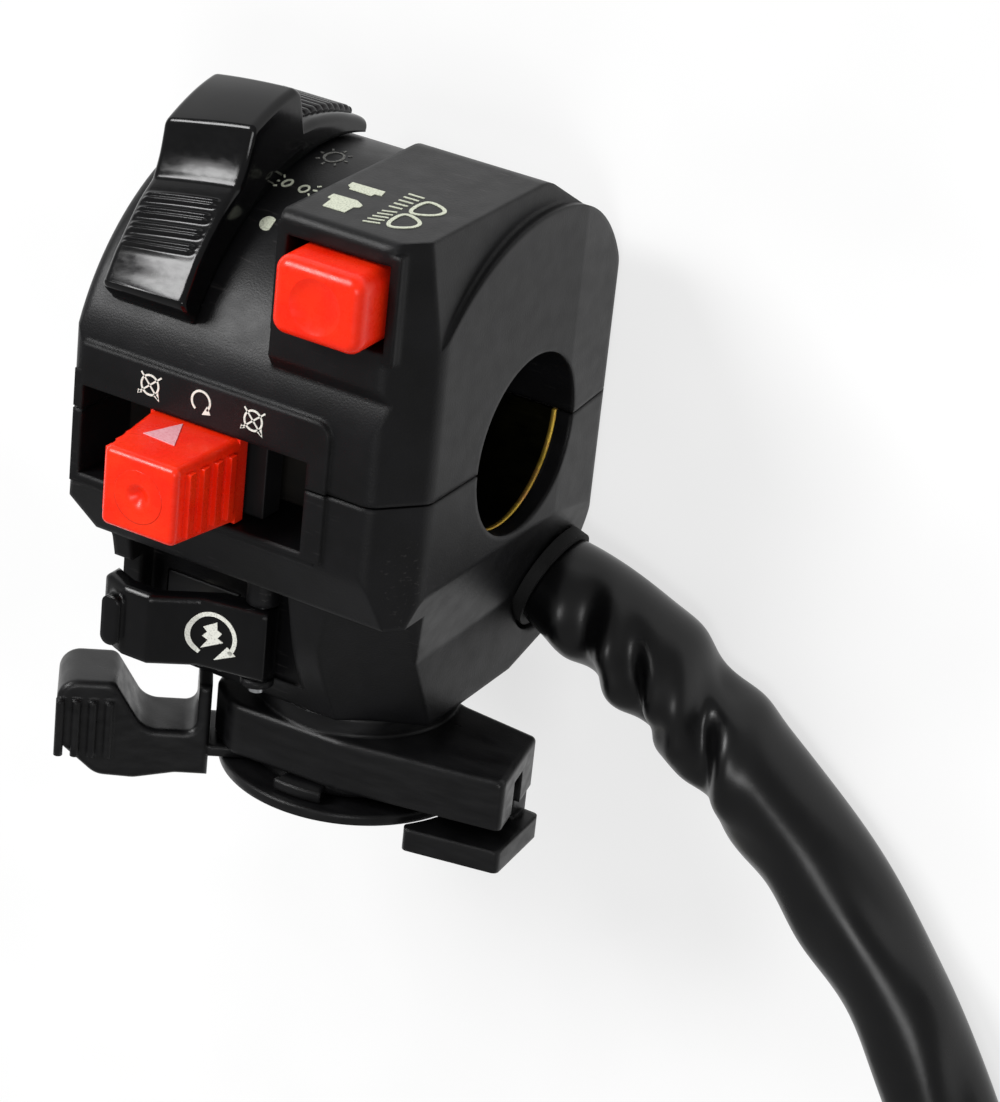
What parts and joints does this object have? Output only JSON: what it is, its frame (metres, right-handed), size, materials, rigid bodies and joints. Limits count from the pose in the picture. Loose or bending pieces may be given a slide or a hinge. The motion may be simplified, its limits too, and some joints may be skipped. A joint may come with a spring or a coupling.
{
  "type": "left handlebar switch cluster",
  "caption": "Left handlebar switch cluster for a small quad or moped: light lever, dimmer button, kill slider, start bar, thumb choke lever and wiring loom.",
  "frame": {"origin": "on the axis of the handlebar bore, 23.5 mm in from the bore's end next to the dimmer button", "axes": "+X along the handlebar bore towards the end by the dimmer button, +Y from the bore towards the light lever, +Z out of the face with the buttons"},
  "size_m": [0.1408, 0.2111, 0.0596],
  "materials": {
    "shell_black": "fine-textured moulded ABS, satin",
    "gloss_black": "polished black ABS",
    "choke_black": "satin black nylon",
    "signal_red": "bright red moulded ABS",
    "inner_nylon": "natural nylon",
    "board_brown": "phenolic contact board",
    "zinc_gold": "yellow passivated zinc plated steel",
    "steel": "zinc plated steel",
    "spring_steel": "bright spring wire",
    "brass": "bare brass",
    "loom_black": "soft black PVC sleeve, semi-gloss",
    "gland_black": "black rubber",
    "wire_pvc": "coloured PVC wire insulation",
    "plug_white": "natural nylon connector"
  },
  "bodies": {
    "casing": {"upper_shell": "shell_black", "lower_shell": "shell_black", "bar_liner": "zinc_gold", "housing_screws": "steel", "screw_inserts": "brass", "light_wafer": "board_brown", "dimmer_switch_body": "inner_nylon", "dimmer_terminals": "brass", "dimmer_spring": "spring_steel", "kill_board": "board_brown", "start_pin": "steel", "start_micro_switch": "choke_black", "start_spring": "spring_steel", "choke_bracket": "choke_black", "choke_washer": "inner_nylon", "choke_cover": "choke_black", "choke_screw": "steel", "bracket_screws": "steel", "cable_keeper": "choke_black", "keeper_screw": "steel", "wire_gland": "gland_black", "loom_sleeve": "loom_black", "wire_tails": "wire_pvc", "plug_body": "plug_white", "plug_contacts": "brass"},
    "light_lever": {"light_lever": "gloss_black", "light_carrier": "inner_nylon", "light_detent_ball": "steel", "light_detent_spring": "spring_steel", "light_contact": "brass"},
    "dimmer_button": {"dimmer_button": "signal_red"},
    "kill_knob": {"kill_knob": "signal_red", "kill_carrier": "choke_black", "kill_detent_ball": "steel", "kill_detent_spring": "spring_steel", "kill_bridge": "brass"},
    "start_button": {"start_button": "gloss_black"},
    "start_plunger": {"start_plunger": "inner_nylon"},
    "choke_lever": {"choke_lever": "choke_black"}
  },
  "joints": [
    {"name": "light_lever_swing", "type": "hinge", "parent": "casing", "child": "light_lever", "pos_m": [0, 0, 0], "axis": [-1, 0, 0], "range_deg": [0, 26]},
    {"name": "dimmer_press", "type": "slide", "parent": "casing", "child": "dimmer_button", "axis": [0, 0, -1], "range_m": [0, 0.003], "stiffness_N_per_m": 500, "springref_m": -0.002, "deforming": ["dimmer_spring"]},
    {"name": "kill_slide", "type": "slide", "parent": "casing", "child": "kill_knob", "axis": [1, 0, 0], "range_m": [-0.007, 0.007]},
    {"name": "start_press", "type": "hinge", "parent": "casing", "child": "start_button", "pos_m": [0.0018, -0.025, 0.0196], "axis": [0, -1, 0], "range_deg": [0, 6.5], "stiffness_Nm_per_rad": 0.1, "springref_deg": -2.86},
    {"name": "start_plunger_slide", "type": "slide", "parent": "casing", "child": "start_plunger", "axis": [0, 0, -1], "range_m": [0, 0.0012], "deforming": ["start_spring"]},
    {"name": "choke_swing", "type": "hinge", "parent": "casing", "child": "choke_lever", "pos_m": [0.006, -0.044, 0.003], "axis": [0, 1, 0], "range_deg": [0, 50]}
  ],
  "couplings": [
    {"joint": "start_plunger_slide", "follows": "start_press", "m_per_rad": 0.0098}
  ]
}
